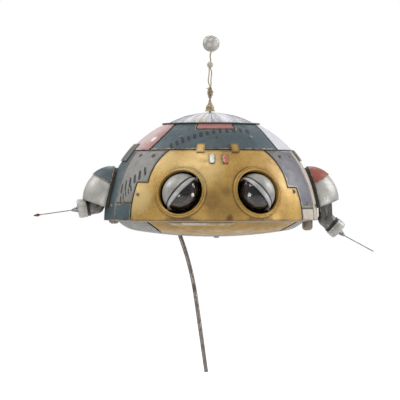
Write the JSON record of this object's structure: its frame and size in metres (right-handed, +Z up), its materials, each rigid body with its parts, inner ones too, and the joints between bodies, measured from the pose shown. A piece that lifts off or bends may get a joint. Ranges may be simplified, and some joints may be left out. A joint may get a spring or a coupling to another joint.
{
  "type": "flying saucer robot model",
  "caption": "Domed flying-saucer robot model on a bent support rod, with lidded glass eyes, an antenna and tilting needle guns under two side pods.",
  "frame": {"origin": "centre of the support rod's cut lower end", "axes": "+Z up along the saucer's axis of revolution, face and eyes towards -Y, +X to the face's right hand side as a viewer in front sees it"},
  "size_m": [0.273, 0.1722, 0.2699],
  "materials": {
    "gold": "worn satin",
    "teal": "worn matt",
    "red": "worn matt",
    "grey": "worn matt",
    "violet_grey": "worn satin",
    "bone": "worn matt",
    "pale": "worn matt",
    "cap_metal": "brushed",
    "silver": "satin",
    "gunmetal": "satin",
    "steel": "brushed",
    "brass": "aged",
    "structure": "matt",
    "dark": "matt",
    "glass": "clear, smoked",
    "eye_core": "gloss",
    "white_lamp": "gloss",
    "copper_lamp": "gloss",
    "dart": "gloss"
  },
  "bodies": {
    "saucer": {"dome_liner": "structure", "face_plate": "gold", "front_top_panel": "teal", "top_red_panel": "red", "left_top_panel": "red", "right_top_panel": "pale", "rear_top_panel": "teal", "left_cheek_panel": "grey", "right_cheek_panel": "violet_grey", "left_lower_panel": "teal", "right_lower_panel": "bone", "left_side_panel": "teal", "right_side_panel": "bone", "rear_left_panel": "grey", "rear_centre_panel": "gold", "rear_right_panel": "violet_grey", "side_latches": "gunmetal", "cap_flange": "gunmetal", "cap": "cap_metal", "antenna_mast": "brass", "antenna_base": "brass", "antenna_wrap": "brass", "antenna_wires": "steel", "antenna_bead": "bone", "antenna_ball": "silver", "chassis_ring": "gunmetal", "chassis_plate": "silver", "belly_pan": "pale", "belly_front": "gold", "belly_strip": "silver", "rod_socket": "brass", "rod_set_screw": "steel", "support_rod": "steel", "eye_bezels": "gold", "eye_cups": "dark", "left_eye_lens": "glass", "right_eye_lens": "glass", "eye_cells": "eye_core", "eye_pins": "steel", "face_tabs": "gold", "left_indicator": "white_lamp", "right_indicator": "copper_lamp", "panel_screws": "steel", "foot_stubs": "gunmetal", "pod_gaskets": "dark", "pod_shells": "silver", "left_pod_top": "teal", "right_pod_top": "red", "gun_brackets": "gunmetal", "gun_pins": "steel"},
    "left_lid": {"left_eyelid": "silver"},
    "right_lid": {"right_eyelid": "silver"},
    "left_gun": {"left_gun_barrel": "gunmetal", "left_gun_cap": "silver", "left_needle": "steel", "needle_dart": "dart"},
    "right_gun": {"right_gun_barrel": "gunmetal", "right_gun_cap": "silver", "right_needle": "steel"}
  },
  "joints": [
    {"name": "left_lid_hinge", "type": "hinge", "parent": "saucer", "child": "left_lid", "pos_m": [-0.0241, -0.07083, 0.14221], "axis": [-0.6731, 0.0451, -0.7382], "range_deg": [-57, 45]},
    {"name": "right_lid_hinge", "type": "hinge", "parent": "saucer", "child": "right_lid", "pos_m": [0.0317, -0.07083, 0.14221], "axis": [-0.6731, -0.0451, 0.7382], "range_deg": [-57, 45]},
    {"name": "left_gun_tilt", "type": "hinge", "parent": "saucer", "child": "left_gun", "pos_m": [-0.0878, 0, 0.1328], "axis": [0, 1, 0], "range_deg": [-60, 4]},
    {"name": "right_gun_tilt", "type": "hinge", "parent": "saucer", "child": "right_gun", "pos_m": [0.09619, 0, 0.1223], "axis": [0, 1, 0], "range_deg": [-34, 30]}
  ]
}
